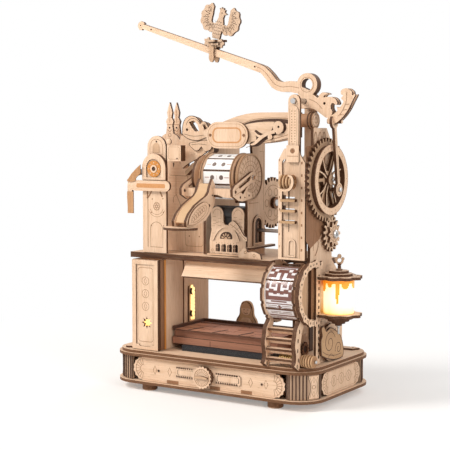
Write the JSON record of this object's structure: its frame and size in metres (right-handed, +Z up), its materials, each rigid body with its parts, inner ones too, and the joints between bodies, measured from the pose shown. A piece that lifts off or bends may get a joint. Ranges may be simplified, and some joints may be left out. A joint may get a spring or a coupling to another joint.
{
  "type": "printing press model",
  "caption": "Tabletop laser-cut plywood printing press model with hand lever, meshed gears, picture drum, calendar drum, swinging balance lever and a small lamp.",
  "frame": {"origin": "centre of the front left foot's underside, on the surface that the feet stand on; the middle of the base is at (0.057, 0.045, 0)", "axes": "+X along the base towards the column, gears and lamp; -Y towards the viewer, the front with the knob and the hand lever; +Z up"},
  "size_m": [0.2016, 0.1403, 0.2974],
  "materials": {
    "basswood_ply": "matte",
    "walnut_stain": "satin",
    "slate_plate": "matte",
    "black_roller": "matte",
    "steel_pin": "satin",
    "frosted_lamp": "satin"
  },
  "bodies": {
    "frame": {"base_floor_plate": "basswood_ply", "foot_front_left": "basswood_ply", "foot_front_right": "basswood_ply", "foot_rear_left": "basswood_ply", "foot_rear_right": "basswood_ply", "base_front_panel": "basswood_ply", "base_rear_panel": "basswood_ply", "base_left_panel": "basswood_ply", "base_right_panel": "basswood_ply", "corner_pilaster_front_left": "basswood_ply", "corner_pilaster_front_right": "basswood_ply", "corner_pilaster_rear_left": "basswood_ply", "corner_pilaster_rear_right": "basswood_ply", "base_top": "basswood_ply", "left_pedestal_front": "basswood_ply", "left_pedestal_inner_wall": "basswood_ply", "left_pedestal_outer_wall": "basswood_ply", "deck": "basswood_ply", "deck_apron": "basswood_ply", "left_tower_front": "basswood_ply", "left_tower_arch": "basswood_ply", "left_tower_crossbar": "basswood_ply", "left_spire_front": "basswood_ply", "left_spire_rear": "basswood_ply", "housing_left_wall": "basswood_ply", "housing_right_wall": "basswood_ply", "beam_front": "basswood_ply", "beam_rear": "basswood_ply", "name_plaque": "basswood_ply", "beam_end_drum": "basswood_ply", "column_front": "basswood_ply", "column_rear": "basswood_ply", "column_side_wall": "basswood_ply", "right_pedestal_inner_wall": "basswood_ply", "picture_drum": "basswood_ply", "ladder": "basswood_ply", "lamp_top": "basswood_ply", "lamp_base": "basswood_ply", "side_disc": "basswood_ply", "ink_roller": "basswood_ply", "lever_pin": "steel_pin", "lamp_glass": "frosted_lamp", "type_plate": "slate_plate", "seated_figure": "walnut_stain"},
    "knob": {"front_knob": "basswood_ply"},
    "press": {"castle_facade": "basswood_ply", "platen_block": "black_roller"},
    "calendar": {"calendar_drum": "basswood_ply", "drum_dial": "basswood_ply"},
    "hand_lever": {"hand_lever": "basswood_ply"},
    "drive": {"drive_shaft": "steel_pin", "pinion": "basswood_ply", "housing_pinion": "basswood_ply"},
    "crank_gear": {"big_gear": "basswood_ply"},
    "idler": {"housing_gear": "basswood_ply"},
    "eagle": {"eagle_lever": "basswood_ply", "balance_rod": "basswood_ply", "perched_bird": "basswood_ply"},
    "conrod": {"connecting_rod": "basswood_ply"},
    "tray": {"type_tray": "walnut_stain"}
  },
  "joints": [
    {"name": "knob_turn", "type": "hinge", "parent": "frame", "child": "knob", "pos_m": [0.056, -0.007, 0.01735], "axis": [0, 1, 0], "continuous": true},
    {"name": "hand_lever_swing", "type": "hinge", "parent": "frame", "child": "hand_lever", "pos_m": [0.057, 0.017, 0.168], "axis": [1, 0, 0], "range_deg": [-45, 0]},
    {"name": "press_slide", "type": "slide", "parent": "frame", "child": "press", "axis": [0, 0, 1], "range_m": [0, 0.0035]},
    {"name": "calendar_turn", "type": "hinge", "parent": "frame", "child": "calendar", "pos_m": [0.057, 0.017, 0.168], "axis": [1, 0, 0], "continuous": true},
    {"name": "drive_turn", "type": "hinge", "parent": "frame", "child": "drive", "pos_m": [0.057, 0.0345, 0.1268], "axis": [1, 0, 0], "continuous": true},
    {"name": "crank_gear_turn", "type": "hinge", "parent": "frame", "child": "crank_gear", "pos_m": [0.057, 0.0265, 0.16732], "axis": [1, 0, 0], "continuous": true},
    {"name": "idler_turn", "type": "hinge", "parent": "frame", "child": "idler", "pos_m": [0.057, 0.06185, 0.14631], "axis": [1, 0, 0], "continuous": true},
    {"name": "eagle_swing", "type": "hinge", "parent": "frame", "child": "eagle", "pos_m": [0.1256, 0.023, 0.2245], "axis": [0, -1, 0], "range_deg": [0, 18]},
    {"name": "conrod_hang", "type": "hinge", "parent": "eagle", "child": "conrod", "pos_m": [0.1486, 0.023, 0.2095], "axis": [0, -1, 0], "range_deg": [-18, 0]},
    {"name": "tray_slide", "type": "slide", "parent": "frame", "child": "tray", "axis": [0, -1, 0], "range_m": [0, 0.015]}
  ],
  "couplings": [
    {"joint": "press_slide", "follows": "hand_lever_swing", "m_per_rad": -0.0044563},
    {"joint": "crank_gear_turn", "follows": "drive_turn", "ratio": -0.40476},
    {"joint": "idler_turn", "follows": "drive_turn", "ratio": -0.77778},
    {"joint": "conrod_hang", "follows": "eagle_swing", "ratio": -1}
  ]
}
